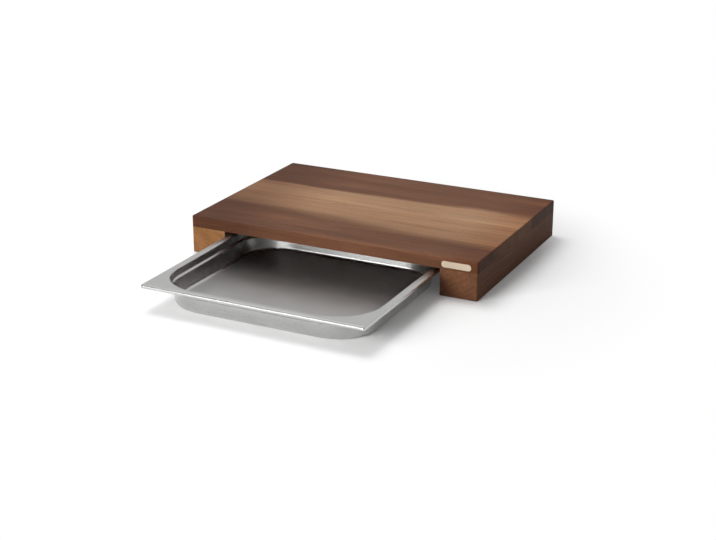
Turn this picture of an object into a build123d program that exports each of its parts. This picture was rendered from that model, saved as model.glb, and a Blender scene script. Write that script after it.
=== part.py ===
from build123d import *
import os
from math import radians, tan

# A wooden cutting board that bridges a pressed steel tray. The tray stands on the worktop, is as
# deep as the board, and slides out from under it, so that cut food can be swept off into it.
#
# Millimetres, +X to the right, +Y to the back, +Z up. The origin is on the worktop, midway
# between the ends of the whole thing with the tray drawn out. The front of the board and the
# front of the tray face -Y.

# ---- Driving sizes: board ----
board_width = 480.0
board_depth = 325.0
board_height = 60.0
panel_thickness = 18.0
front_plank_depth = 162.5
side_rail_width = 59.0
upright_corner_round = 3.0
top_edge_round = 2.0
foot_edge_round = 1.5

# ---- Driving sizes: dowels between the rails and the planks ----
dowel_diameter = 8.0
dowel_in_panel = 11.0
dowel_in_rail = 19.0
dowel_end_round = 0.8
dowel_glue_gap = 0.05
dowel_end_gap = 1.0
dowels_per_rail = 4
dowel_row_margin = 40.0

# ---- Driving sizes: tray ----
tray_width = 352.0
tray_height = 38.0
tray_drawn_out = 237.0
sheet = 0.8
flange_width = 11.5
lip_height = 5.5
lip_bend = 3.0
rim_bend = 2.4
rim_corner_radius = 3.5
bowl_corner_radius = 68.0
collar_height = 11.0
collar_slope = 4.0
step_in = 2.5
step_bend = 3.0
wall_slope = 9.0
floor_bend = 6.0

# ---- Driving sizes: badge ----
badge_width = 46.0
badge_height = 9.6
badge_thickness = 1.0
badge_corner_radius = 4.2
badge_edge_round = 0.3
badge_from_right = 33.5
badge_from_top = 10.3
tape_thickness = 0.5
tape_inset = 1.4

# ---- Worked out ----
overall_depth = tray_drawn_out + board_depth
board_back = overall_depth / 2
board_front = board_back - board_depth
board_right = board_width / 2
rail_height = board_height - panel_thickness
plank_joint = board_front + front_plank_depth
bay_width = board_width - 2 * side_rail_width
tray_depth = board_depth
tray_front = board_front - tray_drawn_out
tray_middle = tray_front + tray_depth / 2
bowl_width = tray_width - 2 * flange_width
bowl_depth = tray_depth - 2 * flange_width

# Two places closer than this are one place, when edges are picked by where they lie.
same_place = 0.01


def block(low, high):
    """A plain box between two corners."""
    size = [b - a for a, b in zip(low, high)]
    return Pos(*low) * Box(*size, align=(Align.MIN, Align.MIN, Align.MIN))


def edges_at(solid, axis, where):
    """The straight edges whose middle lies at one place along an axis."""
    return [edge for edge in solid.edges() if abs(getattr(edge.center(), axis) - where) < same_place]


def ease_uprights(solid, faces_x, faces_y):
    """Rounds the upright edges that stand on the board's outside corners."""
    corners = [
        edge
        for edge in solid.edges().filter_by(Axis.Z)
        if any(abs(edge.center().X - x) < same_place for x in faces_x)
        and any(abs(edge.center().Y - y) < same_place for y in faces_y)
    ]
    return fillet(corners, upright_corner_round)


# ---- Dowels ----
def dowel_places(first, last):
    """Evenly spaced middles of one row of dowels between a rail's two ends."""
    start = first + dowel_row_margin
    pitch = (last - first - 2 * dowel_row_margin) / (dowels_per_rail - 1)
    return [start + pitch * index for index in range(dowels_per_rail)]


side_dowel_x = board_right - side_rail_width / 2
dowel_rows = {
    side: [(side * side_dowel_x, y) for y in dowel_places(board_front, board_back)]
    for side in (-1, 1)
}


def dowel(x, y):
    """One round peg that stands across the joint between a rail and a plank."""
    peg = Cylinder(
        dowel_diameter / 2,
        dowel_in_rail + dowel_in_panel,
        align=(Align.CENTER, Align.CENTER, Align.MIN),
    )
    peg = fillet(peg.edges().filter_by(GeomType.CIRCLE), dowel_end_round)
    return Pos(x, y, rail_height - dowel_in_rail) * peg


def dowel_holes():
    """The blind holes for all the pegs, with room for glue round them and at their ends."""
    depth = dowel_in_rail + dowel_in_panel + 2 * dowel_end_gap
    hole = Cylinder(
        dowel_diameter / 2 + dowel_glue_gap,
        depth,
        align=(Align.CENTER, Align.CENTER, Align.MIN),
    )
    bottom = rail_height - dowel_in_rail - dowel_end_gap
    return [Pos(x, y, bottom) * hole for row in dowel_rows.values() for x, y in row]


# ---- Wood ----
def plank(front, back, outer_face):
    """One plank of the cutting face; its outer face is the board's front or back."""
    body = block((-board_right, front, rail_height), (board_right, back, board_height))
    body = ease_uprights(body, (-board_right, board_right), (outer_face,))
    rim = [
        edge
        for edge in edges_at(body, "Z", board_height)
        if abs(edge.center().Y - plank_joint) > same_place
    ]
    return fillet(rim, top_edge_round) - dowel_holes()


def side_rail(side):
    """The rail under the left (-1) or right (+1) end of the board, as deep as the board."""
    outer = side * board_right
    inner = side * bay_width / 2
    body = block((min(outer, inner), board_front, 0), (max(outer, inner), board_back, rail_height))
    body = ease_uprights(body, (outer,), (board_front, board_back))
    foot = edges_at(body, "Z", 0)
    return fillet(foot, foot_edge_round) - dowel_holes()


# ---- Tray ----
def bowl_outline(grow):
    """The plan of the tray's bowl at its rim, grown outwards by a distance."""
    return RectangleRounded(
        bowl_width + 2 * grow,
        bowl_depth + 2 * grow,
        bowl_corner_radius + grow,
    )


def carry_round(profile, width, depth, radius):
    """One profile carried round the four sides and corners of a rounded rectangle.

    The profile lies in a plane of distance outwards from the rectangle, and height.
    """
    section = Plane.XZ * Pos(radius, 0) * profile
    centre_x = width / 2 - radius
    centre_y = depth / 2 - radius
    corner = revolve(section, Axis.Z, 90)
    end_side = Pos(centre_x, 0, 0) * extrude(section, centre_y, both=True)
    long_side = Pos(centre_y, 0, 0) * extrude(section, centre_x, both=True)
    ring = end_side + Rot(0, 0, 180) * end_side
    ring += [Rot(0, 0, turn) * long_side for turn in (90, 270)]
    for x, y, turn in ((1, 1, 0), (-1, 1, 90), (-1, -1, 180), (1, -1, 270)):
        ring += Pos(x * centre_x, y * centre_y, 0) * Rot(0, 0, turn) * corner
    return ring


def bowl():
    """The tray's drawn bowl: a collar under the rim, a step in, a wall, and a flat floor."""
    top = tray_height - sheet / 2
    collar_in = collar_height * tan(radians(collar_slope))
    wall_top = top - collar_height - step_in
    wall_in = collar_in + step_in + (wall_top - sheet / 2) * tan(radians(wall_slope))
    floor_in = wall_in + floor_bend
    line = FilletPolyline(
        (rim_bend, top),
        (0, top),
        (-collar_in, top - collar_height),
        (-collar_in - step_in, wall_top),
        (-wall_in, sheet / 2),
        (-floor_in, sheet / 2),
        radius=[rim_bend, step_bend, step_bend, floor_bend],
    )
    profile = trace(line, line_width=sheet)
    walls = carry_round(profile, bowl_width, bowl_depth, bowl_corner_radius)
    return walls + extrude(bowl_outline(-floor_in), sheet)


def lip():
    """The tray's outer edge, turned down all round."""
    line = FilletPolyline(
        (-rim_corner_radius, tray_height - sheet / 2),
        (-sheet / 2, tray_height - sheet / 2),
        (-sheet / 2, tray_height - lip_height),
        radius=lip_bend,
    )
    return carry_round(trace(line, line_width=sheet), tray_width, tray_depth, rim_corner_radius)


def tray():
    """The whole tray, pressed from one sheet: bowl, flat flange and turned-down lip."""
    plate = Rectangle(tray_width - 2 * rim_corner_radius, tray_depth - 2 * rim_corner_radius)
    flange = extrude(plate - bowl_outline(rim_bend), sheet)
    body = bowl() + Pos(0, 0, tray_height - sheet) * flange + lip()
    return Pos(0, tray_middle, 0) * body


# ---- Badge ----
def badge_layer(inset, thickness, back):
    """One flat layer of the badge, on the front of the board near its right end."""
    plan = RectangleRounded(
        badge_width - 2 * inset,
        badge_height - 2 * inset,
        badge_corner_radius - inset,
    )
    place = Plane(
        origin=(board_right - badge_from_right, back, board_height - badge_from_top),
        x_dir=(1, 0, 0),
        z_dir=(0, -1, 0),
    )
    return extrude(place * plan, thickness)


def badge_plate():
    """The bare metal plate, with its front edge eased."""
    back = board_front - tape_thickness
    plate = badge_layer(0, badge_thickness, back)
    rim = edges_at(plate, "Y", back - badge_thickness)
    return fillet(rim, badge_edge_round)


nodes = {
    "front_plank": plank(board_front, plank_joint, board_front),
    "rear_plank": plank(plank_joint, board_back, board_back),
    "left_rail": side_rail(-1),
    "right_rail": side_rail(1),
    "left_rail_dowels": Compound([dowel(x, y) for x, y in dowel_rows[-1]]),
    "right_rail_dowels": Compound([dowel(x, y) for x, y in dowel_rows[1]]),
    "badge_plate": badge_plate(),
    "badge_tape": badge_layer(tape_inset, tape_thickness, board_front),
    "tray": tray(),
}

os.makedirs("parts", exist_ok=True)
for name, shape in nodes.items():
    export_step(shape, f"parts/{name}.step")
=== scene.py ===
import bpy
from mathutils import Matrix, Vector


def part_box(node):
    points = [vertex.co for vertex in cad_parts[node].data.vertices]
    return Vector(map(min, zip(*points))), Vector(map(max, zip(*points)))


# The finish of a wooden cutting board over a steel tray, and the pale studio it stands in.
#
# Metres, +X to the right, +Y to the back, +Z up, as the solids are. The materials work in
# millimetres in the same frame, because wood and brushed steel are easier to think of that way.

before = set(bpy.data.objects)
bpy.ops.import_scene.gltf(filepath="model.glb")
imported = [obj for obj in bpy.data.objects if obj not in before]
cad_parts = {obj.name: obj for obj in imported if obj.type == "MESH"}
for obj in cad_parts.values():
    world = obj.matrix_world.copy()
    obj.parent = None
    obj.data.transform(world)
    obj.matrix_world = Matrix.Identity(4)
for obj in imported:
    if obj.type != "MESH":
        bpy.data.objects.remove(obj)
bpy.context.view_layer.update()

MM = 1000.0
WHITE = (1.0, 1.0, 1.0, 1.0)
AXES = {"X": 0, "Y": 1, "Z": 2}


# ---- Node helpers ----
class Shader:
    """A material's node tree, with short calls for the few kinds of node used here."""

    def __init__(self, name):
        self.material = bpy.data.materials.new(name)
        self.material.use_nodes = True
        self.tree = self.material.node_tree
        self.tree.nodes.clear()
        self.output = self.tree.nodes.new("ShaderNodeOutputMaterial")

    def node(self, kind, inputs, **settings):
        """A node of one kind; each input is a plain value or another node's socket."""
        made = self.tree.nodes.new(kind)
        for key, value in settings.items():
            setattr(made, key, value)
        for key, value in inputs.items():
            if isinstance(value, bpy.types.NodeSocket):
                self.tree.links.new(value, made.inputs[key])
            else:
                made.inputs[key].default_value = value
        return made

    def finish(self, shader):
        """Makes a shader the one that the surface or the world shows."""
        self.tree.links.new(shader, self.output.inputs["Surface"])

    def math(self, operation, first, second=0.0, third=0.0):
        inputs = {0: first, 1: second, 2: third}
        return self.node("ShaderNodeMath", inputs, operation=operation).outputs[0]

    def add(self, first, *others):
        """The sum of several values."""
        total = first
        for value in others:
            total = self.math("ADD", total, value)
        return total

    def inverse(self, value):
        """Turns 0 to 1 into 1 to 0."""
        return self.math("SUBTRACT", 1.0, value)

    def swing(self, value, amount):
        """Turns 0 to 1 into minus amount to plus amount."""
        return self.math("MULTIPLY_ADD", value, 2.0 * amount, -amount)

    def ease(self, value, low, high):
        """0 at low and before it, 1 at high and past it, and an even curve between them."""
        return self.node(
            "ShaderNodeMapRange",
            {"Value": value, "From Min": low, "From Max": high},
            interpolation_type="SMOOTHSTEP",
        ).outputs[0]

    def mix(self, share, first, second):
        """A colour between two others."""
        made = self.node("ShaderNodeMix", {0: share, 6: first, 7: second}, data_type="RGBA")
        return made.outputs[2]

    def times(self, vector, factor):
        """A colour or vector scaled by one number."""
        inputs = {0: vector, "Scale": factor}
        return self.node("ShaderNodeVectorMath", inputs, operation="SCALE").outputs[0]

    def product(self, first, second):
        """Two colours or vectors multiplied part by part."""
        inputs = {0: first, 1: second}
        return self.node("ShaderNodeVectorMath", inputs, operation="MULTIPLY").outputs[0]

    def split(self, vector):
        """The three parts of a vector."""
        return self.node("ShaderNodeSeparateXYZ", {0: vector}).outputs

    def millimetres(self):
        """The place on the piece, in millimetres, which stays with the piece as it moves."""
        place = self.node("ShaderNodeTexCoord", {}).outputs["Object"]
        return self.times(place, MM)

    def square_to(self, axis, low, high):
        """1 on faces that stand square to an axis, 0 on those that lean away from it."""
        normal = self.node("ShaderNodeTexCoord", {}).outputs["Normal"]
        facing = self.math("ABSOLUTE", self.split(normal)[axis])
        return self.ease(facing, low, high)

    def noise(self, place, size, detail, shift=0.0):
        """Soft noise from 0 to 1, whose blotches measure about size millimetres each way."""
        scaled = self.node(
            "ShaderNodeVectorMath",
            {0: place, 1: [1.0 / length for length in size], 2: (shift, shift, shift)},
            operation="MULTIPLY_ADD",
        ).outputs[0]
        inputs = {"Vector": scaled, "Scale": 1.0, "Detail": detail}
        return self.node("ShaderNodeTexNoise", inputs).outputs["Fac"]

    def bump(self, height, depth_mm, strength):
        """Fine relief, too shallow to be worth a shape of its own."""
        inputs = {"Height": height, "Distance": depth_mm / MM, "Strength": strength}
        return self.node("ShaderNodeBump", inputs).outputs[0]

    def surface(self, **inputs):
        """The finished material; socket names are written with _ for a space."""
        named = {key.replace("_", " "): value for key, value in inputs.items()}
        self.finish(self.node("ShaderNodeBsdfPrincipled", named).outputs[0])
        return self.material


def dress(node, material):
    """Gives a solid from the frame its finished material."""
    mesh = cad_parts[node].data
    mesh.materials.clear()
    mesh.materials.append(material)


# ---- Wood ----
WALNUT_HEART = (0.140, 0.062, 0.034, 1.0)
WALNUT_SAP = (0.370, 0.212, 0.118, 1.0)
WALNUT_WARM = (0.30, 0.13, 0.07, 1.0)
PALE_SAP = (0.450, 0.270, 0.155, 1.0)
RAIL_TAN = (0.270, 0.125, 0.048, 1.0)
RAIL_BROWN = (0.165, 0.072, 0.036, 1.0)
BEECH_HEART = (0.56, 0.38, 0.21, 1.0)
BEECH_SAP = (0.60, 0.42, 0.25, 1.0)
BEECH_WARM = (0.55, 0.33, 0.18, 1.0)

# How far the rings stray from true circles round the pith, in millimetres.
RING_DRIFT = 16.0
RING_FLOW = 2.5

# The colour changes by this share at the edge of the heartwood, and by the rest of the way
# over this many millimetres outside it.
SAP_STEP = 0.72
SAP_FADE = 75.0

# Where in each year's ring its dark late wood begins, and where it is at its darkest.
LATE_WOOD_BEGINS = 0.2
LATE_WOOD_DARKEST = 0.9

# How much each pattern lightens or darkens the wood, as a share of its colour.
TONE_SWING = 0.30
STREAK_SWING = 0.28
FIBRE_SWING = 0.14
LATE_WOOD_SHADE = 0.12
PORE_SHADE = 0.22

# Above these levels of the noise, a pore opens or the wood turns warmer.
PORE_EDGE = (0.60, 0.70)
WARM_EDGE = (0.45, 0.75)
WARM_SHARE = 0.3

# How square to the grain a face stands, from where it counts as end grain.
END_GRAIN_EDGE = (0.5, 0.9)

# Between these two places along the grain, in millimetres, a tint comes in towards each end.
LOW_END = (-70.0, -215.0)
LOW_END_TINT = (0.60, 0.53, 0.50, 1.0)
HIGH_END = (150.0, 240.0)
HIGH_END_TINT = (0.84, 0.70, 0.60, 1.0)

WOOD_ROUGHNESS = 0.52
FIBRE_ROUGHNESS = 0.16
PORE_ROUGHNESS = 0.14
FIBRE_RELIEF = 0.5


class Wood(Shader):
    """The node tree of one piece of wood, which knows how its grain runs."""

    def __init__(self, name, grain, shift):
        """grain is the axis along the grain; shift picks another place in the noise."""
        super().__init__(name)
        self.grain = AXES[grain]
        self.shift = shift
        self.place = self.millimetres()
        parts = self.split(self.place)
        self.run = parts[self.grain]
        self.across = [parts[axis] for axis in AXES.values() if axis != self.grain]

    def streaks(self, length, width, detail, offset):
        """Noise drawn out along the grain; each offset gives a pattern of its own."""
        size = [width, width, width]
        size[self.grain] = length
        return self.noise(self.place, size, detail, self.shift + offset)

    def ring_distance(self, pith):
        """The distance from the pith line, bent a little so that the rings wander."""
        squares = [
            self.math("POWER", self.math("SUBTRACT", part, middle), 2.0)
            for part, middle in zip(self.across, pith)
        ]
        straight = self.math("SQRT", self.add(*squares))
        drift = self.streaks(length=240.0, width=60.0, detail=2.0, offset=0.0)
        flow = self.streaks(length=90.0, width=12.0, detail=2.0, offset=3.0)
        return self.add(straight, self.swing(drift, RING_DRIFT), self.swing(flow, RING_FLOW))

    def sapness(self, radius, edge, lean, edge_width):
        """0 in the heartwood, a quick step up at its edge, and 1 well outside it."""
        border = self.math("MULTIPLY_ADD", self.run, lean, edge)
        outside = self.math("SUBTRACT", radius, border)
        step = self.math("MULTIPLY", self.ease(outside, -edge_width, edge_width), SAP_STEP)
        fade = self.math("MULTIPLY", self.ease(outside, 0.0, SAP_FADE), 1.0 - SAP_STEP)
        return self.add(step, fade)

    def late_wood(self, radius, ring):
        """1 in the dark line of each year's ring, which builds up slowly and ends at once."""
        phase = self.math("FRACT", self.math("DIVIDE", radius, ring))
        rise = self.ease(phase, LATE_WOOD_BEGINS, LATE_WOOD_DARKEST)
        fall = self.inverse(self.ease(phase, LATE_WOOD_DARKEST, 1.0))
        return self.math("MULTIPLY", rise, fall)

    def warmed(self, colour, warm):
        """A colour with soft patches of a warmer one in it."""
        patches = self.streaks(length=190.0, width=30.0, detail=2.0, offset=19.0)
        share = self.math("MULTIPLY", self.ease(patches, *WARM_EDGE), WARM_SHARE)
        return self.mix(share, colour, warm)

    def end_tints(self):
        """The tint towards either end of the grain."""
        low = self.mix(self.ease(self.run, *LOW_END), WHITE, LOW_END_TINT)
        high = self.mix(self.ease(self.run, *HIGH_END), WHITE, HIGH_END_TINT)
        return self.product(low, high)

    def lightness(self, late, fibre, pore, end_shade):
        """How light the wood is at each place, where 1 leaves its colour as it is."""
        tone = self.streaks(length=260.0, width=22.0, detail=3.0, offset=7.0)
        streak = self.streaks(length=150.0, width=4.0, detail=3.0, offset=11.0)
        level = self.add(
            1.0,
            self.swing(tone, TONE_SWING),
            self.swing(streak, STREAK_SWING),
            self.swing(fibre, FIBRE_SWING),
            self.math("MULTIPLY", late, -LATE_WOOD_SHADE),
            self.math("MULTIPLY", pore, -PORE_SHADE),
        )
        # End grain is darker: partly the wood's own darker end grain, partly painted shade for
        # the board's shaded right end.
        end_grain = self.square_to(self.grain, *END_GRAIN_EDGE)
        shade = self.math("MULTIPLY_ADD", end_grain, end_shade - 1.0, 1.0)
        return self.math("MULTIPLY", level, shade)


def wood(
    name,
    grain,
    pith,
    heart,
    sap,
    edge,
    lean=0.0,
    edge_width=9.0,
    ring=7.0,
    shift=0.0,
    end_shade=0.6,
    warm=WALNUT_WARM,
):
    """Oiled wood, as a solid block of growth rings round a pith line that runs along the grain.

    Lengths are in millimetres. pith is where the pith line stands on the two axes across the
    grain, in their order. heart is the colour inside the ring at distance edge from the pith,
    sap the colour outside it. lean moves that ring out per millimetre along the grain, and
    the colour changes within edge_width of it. ring is the width of one year's growth.
    end_shade is how light the end grain is, against 1 for the rest. It is partly the darker end
    grain of oiled wood and partly painted shade, set for the board's right end, which stands in
    shade. warm is the colour of the warmer patches.
    """
    s = Wood(name, grain, shift)
    radius = s.ring_distance(pith)
    fibre = s.streaks(length=30.0, width=0.9, detail=3.0, offset=0.0)
    pore = s.ease(s.streaks(length=9.0, width=0.55, detail=1.0, offset=5.0), *PORE_EDGE)

    base = s.mix(s.sapness(radius, edge, lean, edge_width), heart, sap)
    tinted = s.product(s.warmed(base, warm), s.end_tints())
    level = s.lightness(s.late_wood(radius, ring), fibre, pore, end_shade)

    pore_roughness = s.math("MULTIPLY_ADD", pore, PORE_ROUGHNESS, WOOD_ROUGHNESS)
    relief = s.math("SUBTRACT", s.math("MULTIPLY", fibre, FIBRE_RELIEF), pore)
    return s.surface(
        Base_Color=s.times(tinted, level),
        Roughness=s.math("MULTIPLY_ADD", fibre, FIBRE_ROUGHNESS, pore_roughness),
        Specular_IOR_Level=0.12,
        Normal=s.bump(relief, depth_mm=0.12, strength=0.35),
    )


front_low, front_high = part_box("front_plank")
rear_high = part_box("rear_plank")[1]
board_front = front_low.y * MM
board_back = rear_high.y * MM
board_top = front_high.z * MM

# Both planks were sawn with the pith on their outer side, this far out and this far down.
PITH_AWAY = 260.0
PITH_BELOW = 90.0

# The ring at which the pale band along the glue line begins, counted from the outer side.
FRONT_BAND = 94.0
REAR_BAND = 118.0

# The planks keep the default end_shade of 0.6, which is partly painted shade on the board's right
# end.
front_wood = wood(
    "walnut_front_plank",
    grain="X",
    pith=(board_front - PITH_AWAY, board_top - PITH_BELOW),
    heart=WALNUT_HEART,
    sap=WALNUT_SAP,
    edge=PITH_AWAY + FRONT_BAND,
    lean=-0.080,
    edge_width=17.0,
)
rear_wood = wood(
    "walnut_rear_plank",
    grain="X",
    pith=(board_back + PITH_AWAY, board_top - PITH_BELOW),
    heart=WALNUT_HEART,
    sap=PALE_SAP,
    edge=PITH_AWAY + REAR_BAND,
    lean=-0.02,
    edge_width=6.0,
    shift=31.0,
)
left_wood = wood(
    "walnut_left_rail",
    grain="Y",
    pith=(-330.0, -140.0),
    heart=RAIL_TAN,
    sap=WALNUT_SAP,
    edge=230.0,
    shift=47.0,
    end_shade=1.0,
)
right_wood = wood(
    "walnut_right_rail",
    grain="Y",
    pith=(300.0, -120.0),
    heart=RAIL_BROWN,
    sap=RAIL_BROWN,
    edge=160.0,
    shift=59.0,
    end_shade=1.0,
)
beech = wood(
    "beech_dowel",
    grain="Z",
    pith=(60.0, 40.0),
    heart=BEECH_HEART,
    sap=BEECH_SAP,
    edge=80.0,
    ring=2.5,
    shift=83.0,
    warm=BEECH_WARM,
)

dress("front_plank", front_wood)
dress("rear_plank", rear_wood)
dress("left_rail", left_wood)
dress("right_rail", right_wood)
for row in ("left_rail_dowels", "right_rail_dowels"):
    dress(row, beech)


# ---- Metal ----
TRAY_STEEL = (0.57, 0.57, 0.56)
BADGE_METAL = (0.70, 0.57, 0.43)

# How level a face lies, from where it counts as one that the pressing tool didn't draw.
LEVEL_FACE_EDGE = (0.96, 0.995)

# How much brush lines and smudges change the colour and the roughness.
BRUSH_SWING = 0.05
SMUDGE_SWING = 0.04

# Above this level of the noise runs a scratch, which is darker and rougher by the given amount.
SCRATCH_EDGE = (0.70, 0.74)
SCRATCH_CHANGE = 0.1


def satin_metal(
    name, colour, level_rough, drawn_rough, brush_length, brush_width, scratches, metal
):
    """Satin metal with fine brush lines along X, soft smudges and hairline scratches.

    level_rough is the roughness of faces that lie level, drawn_rough that of walls and bends,
    which are smoother where the sheet was drawn over a polished tool. scratches is 1 with
    scratches and 0 without, and metal is how metallic the finish is.
    """
    s = Shader(name)
    place = s.millimetres()
    brush = s.noise(place, (brush_length, brush_width, brush_width), detail=3.0)
    smudge = s.noise(place, (55.0, 40.0, 40.0), detail=3.0, shift=13.0)
    lines = s.noise(place, (0.5, 34.0, 34.0), detail=1.0, shift=23.0)
    scratch = s.math("MULTIPLY", s.ease(lines, *SCRATCH_EDGE), scratches)
    scar = s.math("MULTIPLY", scratch, SCRATCH_CHANGE)
    uneven = s.add(s.swing(brush, BRUSH_SWING), s.swing(smudge, SMUDGE_SWING))

    level_face = s.square_to(AXES["Z"], *LEVEL_FACE_EDGE)
    plain_rough = s.math("MULTIPLY_ADD", level_face, level_rough - drawn_rough, drawn_rough)
    lightness = s.math("SUBTRACT", s.add(1.0, uneven), scar)
    return s.surface(
        Base_Color=s.times(colour, lightness),
        Metallic=metal,
        Roughness=s.add(plain_rough, uneven, scar),
        Normal=s.bump(s.math("SUBTRACT", brush, scratch), depth_mm=0.02, strength=0.12),
    )


tray_steel = satin_metal(
    "satin_tray_steel",
    TRAY_STEEL,
    level_rough=0.36,
    drawn_rough=0.27,
    brush_length=30.0,
    brush_width=0.5,
    scratches=1.0,
    metal=1.0,
)
badge_metal = satin_metal(
    "satin_badge",
    BADGE_METAL,
    level_rough=0.4,
    drawn_rough=0.4,
    brush_length=12.0,
    brush_width=0.25,
    scratches=0.0,
    metal=0.5,
)

dress("tray", tray_steel)
dress("badge_plate", badge_metal)


# ---- Tape behind the badge ----
TAPE_FOAM = (0.85, 0.85, 0.82)
FOAM_LIGHTNESS = 0.9
FOAM_ROUGHNESS = 0.6
CELL_SIZE = 0.4
CELL_SWING = 0.08
CELL_ROUGHNESS = 0.2


def foam_tape(name):
    """Pale foam with fine cells."""
    s = Shader(name)
    cells = s.noise(s.millimetres(), (CELL_SIZE, CELL_SIZE, CELL_SIZE), detail=2.0)
    level = s.math("ADD", FOAM_LIGHTNESS, s.swing(cells, CELL_SWING))
    return s.surface(
        Base_Color=s.times(TAPE_FOAM, level),
        Roughness=s.math("MULTIPLY_ADD", cells, CELL_ROUGHNESS, FOAM_ROUGHNESS),
        Normal=s.bump(cells, depth_mm=0.05, strength=0.3),
    )


dress("badge_tape", foam_tape("tape_foam"))


# ---- Floor ----
FLOOR_HALF = 6.0
FLOOR_PALE = (0.94, 0.94, 0.94)
FLOOR_LIFT = 0.05
FLOOR_PATCH_SIZE = 400.0
FLOOR_PATCH_SWING = 0.01

# The floor that throws light up onto the object is a plainer and darker one.
FLOOR_BOUNCE = (0.30, 0.30, 0.30, 1.0)

# Between these distances from the middle, in millimetres, the floor turns into plain white.
FLOOR_WHITE_EDGE = (280.0, 520.0)

# The floor lies this far under the feet, in metres, so that no two faces lie in one plane.
FLOOR_DROP = 0.0002


def seen_directly(s):
    """1 for rays from the camera and for what metal mirrors, 0 for light that lands on things."""
    rays = s.node("ShaderNodeLightPath", {}).outputs
    seen = s.math("MAXIMUM", rays["Is Camera Ray"], rays["Is Glossy Ray"])
    return s.math("MAXIMUM", seen, rays["Is Transmission Ray"])


def white_floor(name):
    """A pale floor that keeps the object's soft shadow and turns plain white away from it."""
    s = Shader(name)
    place = s.millimetres()
    size = (FLOOR_PATCH_SIZE, FLOOR_PATCH_SIZE, FLOOR_PATCH_SIZE)
    patches = s.swing(s.noise(place, size, detail=1.0), FLOOR_PATCH_SWING)
    pale = s.times(FLOOR_PALE, s.math("ADD", 1.0, patches))
    shaded = s.node("ShaderNodeBsdfDiffuse", {"Color": pale}).outputs[0]
    lift = s.node("ShaderNodeEmission", {"Color": WHITE, "Strength": FLOOR_LIFT}).outputs[0]
    near = s.node("ShaderNodeAddShader", {0: shaded, 1: lift}).outputs[0]
    far = s.node("ShaderNodeEmission", {"Color": WHITE, "Strength": 1.0}).outputs[0]

    away = s.node("ShaderNodeVectorMath", {0: place}, operation="LENGTH").outputs["Value"]
    whiteness = s.ease(away, *FLOOR_WHITE_EDGE)
    seen = s.node("ShaderNodeMixShader", {0: whiteness, 1: near, 2: far}).outputs[0]
    bounce = s.node("ShaderNodeBsdfDiffuse", {"Color": FLOOR_BOUNCE}).outputs[0]
    both = {0: seen_directly(s), 1: bounce, 2: seen}
    s.finish(s.node("ShaderNodeMixShader", both).outputs[0])
    return s.material


floor_corners = [(-1, -1), (1, -1), (1, 1), (-1, 1)]
floor_mesh = bpy.data.meshes.new("studio_floor")
floor_mesh.from_pydata(
    [(x * FLOOR_HALF, y * FLOOR_HALF, 0.0) for x, y in floor_corners],
    [],
    [(0, 1, 2, 3)],
)
floor_mesh.materials.append(white_floor("studio_floor"))
floor = bpy.data.objects.new("studio_floor", floor_mesh)
floor.location.z = -FLOOR_DROP
bpy.context.scene.collection.objects.link(floor)


# ---- Room ----
# How bright each part of the room is; the ambient light is what lands on the object, and the
# others are what its metal mirrors.
AMBIENT_LEVEL = 0.36
WINDOW_LEVEL = 8.5
CEILING_LEVEL = 1.05
SWEEP_LEVEL = 0.76
DARK_ROOM_LEVEL = 0.05

# The share of the ambient light that is missing on the right.
AMBIENT_LOSS = 0.6

# The soft edges of those parts, as parts of a direction one unit long: to the right, to the
# back and up.
AMBIENT_RIGHT = (0.0, 0.8)
WINDOW_TOP = (0.14, 0.30)
WINDOW_FRONT = (-0.45, -0.25)
WINDOW_LEFT = (-0.58, -0.46)
WINDOW_RIGHT = (0.28, 0.44)
SWEEP_EDGE = (0.0, 0.5)
CEILING_EDGE = (0.5, 0.8)


class Sky(Shader):
    """The world's node tree, with the same short calls."""

    def __init__(self, name):
        self.world = bpy.data.worlds.new(name)
        self.world.use_nodes = True
        self.tree = self.world.node_tree
        self.tree.nodes.clear()
        self.output = self.tree.nodes.new("ShaderNodeOutputWorld")

    def direction(self):
        """The parts of the direction looked in: to the right, to the back and up."""
        return self.split(self.node("ShaderNodeTexCoord", {}).outputs["Generated"])

    def light(self, strength):
        """White light of a strength."""
        inputs = {"Color": WHITE, "Strength": strength}
        return self.node("ShaderNodeBackground", inputs).outputs[0]


def ambient(s):
    """How much soft light comes from each direction: less from the right."""
    right = s.direction()[AXES["X"]]
    loss = s.ease(right, *AMBIENT_RIGHT)
    return s.math("MULTIPLY_ADD", loss, -AMBIENT_LOSS * AMBIENT_LEVEL, AMBIENT_LEVEL)


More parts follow.
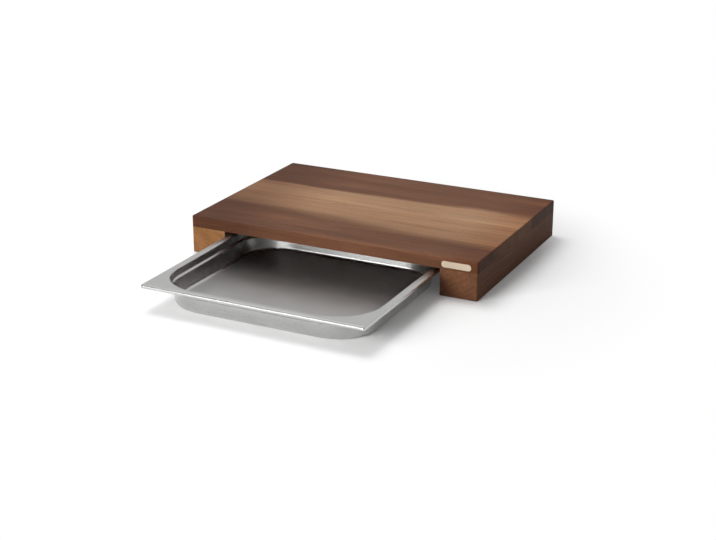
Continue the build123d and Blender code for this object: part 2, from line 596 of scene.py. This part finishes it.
def mirrored_room(s):
    """How bright the room looks to metal in each direction.

    A white sweep stands behind, a low bright window in front, and a soft ceiling lies above.
    The rest is dark.
    """
    right, back, up = s.direction()
    low = s.inverse(s.ease(up, *WINDOW_TOP))
    in_front = s.inverse(s.ease(back, *WINDOW_FRONT))
    between = s.math("SUBTRACT", s.ease(right, *WINDOW_LEFT), s.ease(right, *WINDOW_RIGHT))
    window = s.math("MULTIPLY", s.math("MULTIPLY", low, in_front), between)
    window_light = s.math("MULTIPLY_ADD", window, WINDOW_LEVEL, DARK_ROOM_LEVEL)
    sweep_light = s.math("MULTIPLY", s.ease(back, *SWEEP_EDGE), SWEEP_LEVEL)
    ceiling_light = s.math("MULTIPLY", s.ease(up, *CEILING_EDGE), CEILING_LEVEL)
    white_parts = s.math("MAXIMUM", sweep_light, ceiling_light)
    return s.math("MAXIMUM", window_light, white_parts)


def studio_world(name):
    """White to the camera, the mirrored room to metal, and soft light for all the rest."""
    s = Sky(name)
    rays = s.node("ShaderNodeLightPath", {}).outputs
    mirror = s.math("MAXIMUM", rays["Is Glossy Ray"], rays["Is Transmission Ray"])
    on_object = {0: mirror, 1: s.light(ambient(s)), 2: s.light(mirrored_room(s))}
    lit = s.node("ShaderNodeMixShader", on_object).outputs[0]
    whole = {0: rays["Is Camera Ray"], 1: lit, 2: s.light(1.0)}
    s.finish(s.node("ShaderNodeMixShader", whole).outputs[0])
    return s.world


bpy.context.scene.world = studio_world("studio_world")


# ---- Lamps ----
def aim(thing, place, target):
    """Sets a lamp or camera down at a place and turns it to face a target."""
    thing.location = place
    thing.rotation_euler = (Vector(target) - Vector(place)).to_track_quat("-Z", "Y").to_euler()
    bpy.context.scene.collection.objects.link(thing)


def softbox(name, place, width, height, watts):
    """A soft rectangular lamp that faces the middle and that metal doesn't mirror."""
    data = bpy.data.lights.new(name, "AREA")
    data.shape = "RECTANGLE"
    data.size = width
    data.size_y = height
    data.energy = watts
    lamp = bpy.data.objects.new(name, data)
    lamp.visible_glossy = False
    aim(lamp, place, (0.0, 0.0, 0.0))


softbox("top_softbox", place=(-1.2, 0.8, 3.0), width=1.8, height=1.8, watts=58.0)
softbox("front_softbox", place=(-1.1, -2.6, 1.0), width=2.0, height=1.2, watts=84.0)

# ---- Camera ----
CAMERA_PLACE = (0.9506, -1.8579, 0.7779)
CAMERA_TARGET = (0.0286, -0.0029, 0.0)

camera_data = bpy.data.cameras.new("camera")
camera_data.sensor_width = 36.0
camera_data.lens = 73.29
camera = bpy.data.objects.new("camera", camera_data)
aim(camera, CAMERA_PLACE, CAMERA_TARGET)
bpy.context.scene.camera = camera
bpy.context.scene.view_settings.view_transform = "Standard"
